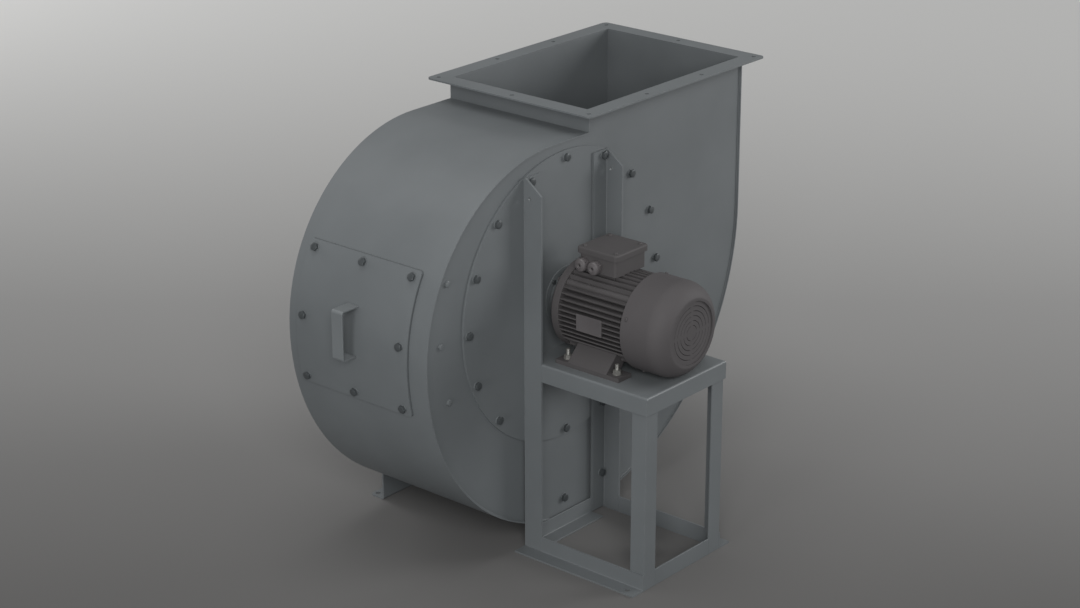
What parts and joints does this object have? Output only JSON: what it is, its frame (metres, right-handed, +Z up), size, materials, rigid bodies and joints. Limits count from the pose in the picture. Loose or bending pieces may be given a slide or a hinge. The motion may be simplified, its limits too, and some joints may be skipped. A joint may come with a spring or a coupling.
{
  "type": "centrifugal fan",
  "caption": "Direct-drive centrifugal fan: scroll housing with upward rectangular outlet, round inlet, bolted inspection door, foot-mounted motor on an angle-iron pedestal.",
  "frame": {"origin": "on the floor, in the middle of the rectangle of the four floor-anchor holes", "axes": "+Z up, +Y from the motor towards the inlet along the shaft, +X to the right seen from the motor, on the side of the outlet"},
  "size_m": [1.2063, 0.837, 0.998],
  "materials": {
    "housing_paint": "satin",
    "handle_paint": "satin",
    "dark_fasteners": "blackened",
    "zinc_fasteners": "zinc plated",
    "motor_paint": "satin",
    "cover_paint": "satin",
    "gasket_rubber": "matte",
    "seal_felt": "felt",
    "gland_plastic": "matte",
    "fan_plastic": "matte",
    "block_plastic": "matte",
    "plate_aluminium": "brushed",
    "rotor_aluminium": "turned",
    "core_steel": "laminated",
    "winding_copper": "varnished copper",
    "bright_steel": "ground",
    "wheel_paint": "satin",
    "hub_iron": "machined"
  },
  "bodies": {
    "housing": {"scroll_wrapper": "housing_paint", "motor_side_plate": "housing_paint", "inlet_side_plate": "housing_paint", "cutoff_tongue": "housing_paint", "outlet_flange": "housing_paint", "mounting_disc": "housing_paint", "plate_spacers": "housing_paint", "seal_retainer": "housing_paint", "door_frame": "housing_paint", "door_frame_screws": "housing_paint", "inlet_cone": "housing_paint", "inlet_spigot": "housing_paint", "inlet_collar": "housing_paint", "inlet_foot": "housing_paint", "rear_post_right": "housing_paint", "rear_post_left": "housing_paint", "front_post_right": "housing_paint", "front_post_left": "housing_paint", "base_rail_right": "housing_paint", "base_rail_left": "housing_paint", "base_rail_front": "housing_paint", "base_rail_rear": "housing_paint", "motor_table": "housing_paint", "side_plate_bolts": "dark_fasteners", "seal_screws": "dark_fasteners", "inlet_bolts": "dark_fasteners", "inlet_foot_bolts": "dark_fasteners", "motor_foot_bolts": "zinc_fasteners", "motor_frame": "motor_paint", "drive_end_shield": "motor_paint", "fan_end_shield": "motor_paint", "terminal_box": "motor_paint", "terminal_box_lid": "motor_paint", "lid_screws": "motor_paint", "shield_screws": "motor_paint", "fan_cover": "cover_paint", "cover_screws": "cover_paint", "shaft_seal": "seal_felt", "cable_glands": "gland_plastic", "terminal_block": "block_plastic", "nameplate": "plate_aluminium", "stator_core": "core_steel", "stator_winding": "winding_copper", "bearing_outer_rings": "bright_steel"},
    "rotor": {"motor_shaft": "bright_steel", "bearing_inner_rings": "bright_steel", "rotor_core": "rotor_aluminium", "cooling_fan": "fan_plastic", "shaft_key": "bright_steel", "impeller_hub": "hub_iron", "impeller_back_plate": "wheel_paint", "impeller_blades": "wheel_paint", "impeller_shroud": "wheel_paint", "hub_rivets": "bright_steel", "hub_end_bolt": "zinc_fasteners"},
    "door": {"inspection_door": "housing_paint", "door_gasket": "gasket_rubber", "door_handle": "handle_paint", "door_screws": "dark_fasteners"}
  },
  "joints": [
    {"name": "wheel_spin", "type": "hinge", "parent": "housing", "child": "rotor", "pos_m": [0, -0.062, 0.581], "axis": [0, -1, 0], "continuous": true},
    {"name": "door_slide", "type": "slide", "parent": "housing", "child": "door", "axis": [-0.99, 0, 0.1408], "range_m": [0, 0.25]}
  ]
}
